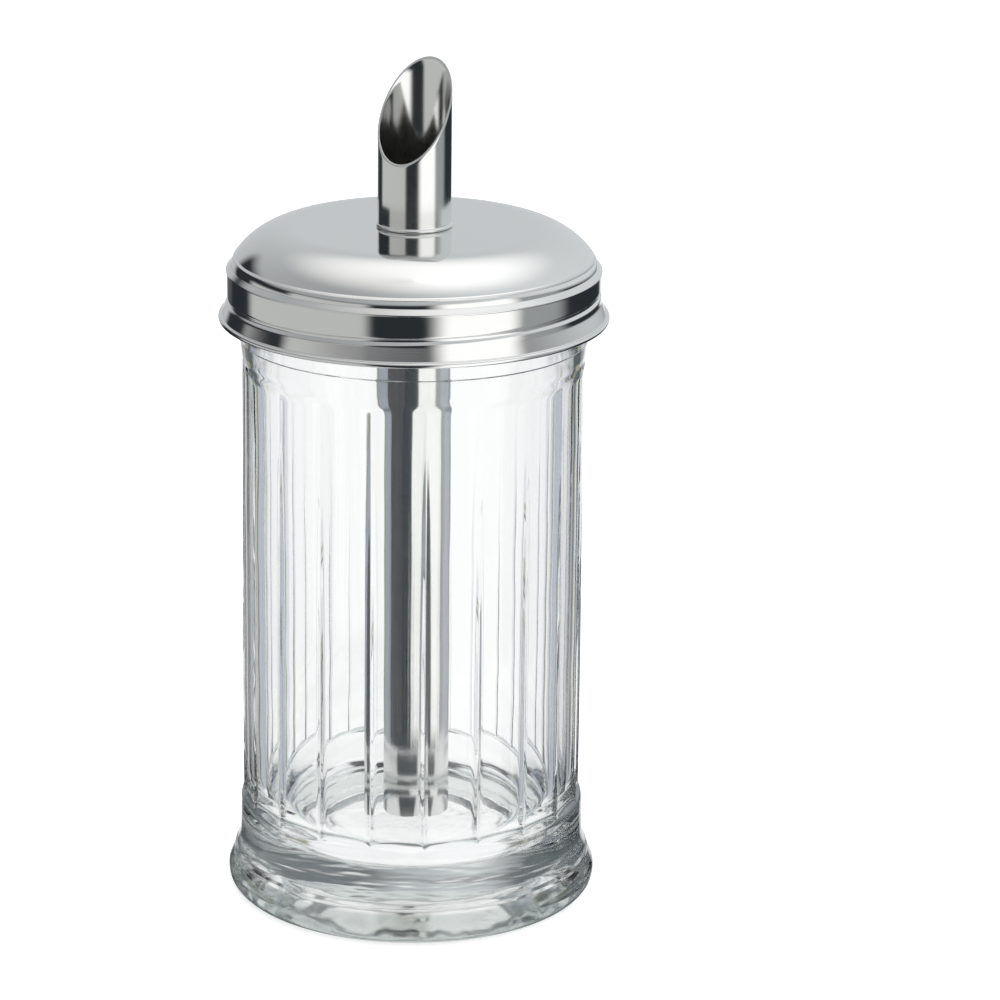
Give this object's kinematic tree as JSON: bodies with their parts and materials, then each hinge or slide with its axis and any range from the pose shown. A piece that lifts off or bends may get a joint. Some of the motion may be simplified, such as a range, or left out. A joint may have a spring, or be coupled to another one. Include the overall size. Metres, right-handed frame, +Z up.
{
  "type": "sugar dispenser",
  "caption": "Fluted glass sugar dispenser with a flared foot, a domed steel screw lid and a steel dosing tube that ends in a slanted open spout.",
  "frame": {"origin": "on the axis, in the plane that the foot's flat ring stands on", "axes": "+Z up along the jar's axis; the spout opens towards -Y"},
  "size_m": [0.0728, 0.0728, 0.16],
  "materials": {
    "jar_glass": "clear pressed glass, fire-polished",
    "lid_steel": "stainless steel, satin dome with a polished skirt",
    "tube_steel": "stainless steel, drawn and polished",
    "liner_plastic": "soft milky polyethylene, smooth"
  },
  "bodies": {
    "jar": {"glass_jar": "jar_glass"},
    "liner": {"lid_seal": "liner_plastic"},
    "lid": {"lid_shell": "lid_steel", "dosing_tube": "tube_steel"}
  },
  "joints": [
    {"name": "lid_rise", "type": "slide", "parent": "jar", "child": "liner", "axis": [0, 0, 1], "range_m": [0, 0.00505]},
    {"name": "lid_turn", "type": "hinge", "parent": "liner", "child": "lid", "pos_m": [0, 0, 0.1225], "axis": [0, 0, 1], "range_deg": [0, 450]}
  ],
  "couplings": [
    {"joint": "lid_rise", "follows": "lid_turn", "m_per_rad": 0.00063662}
  ]
}
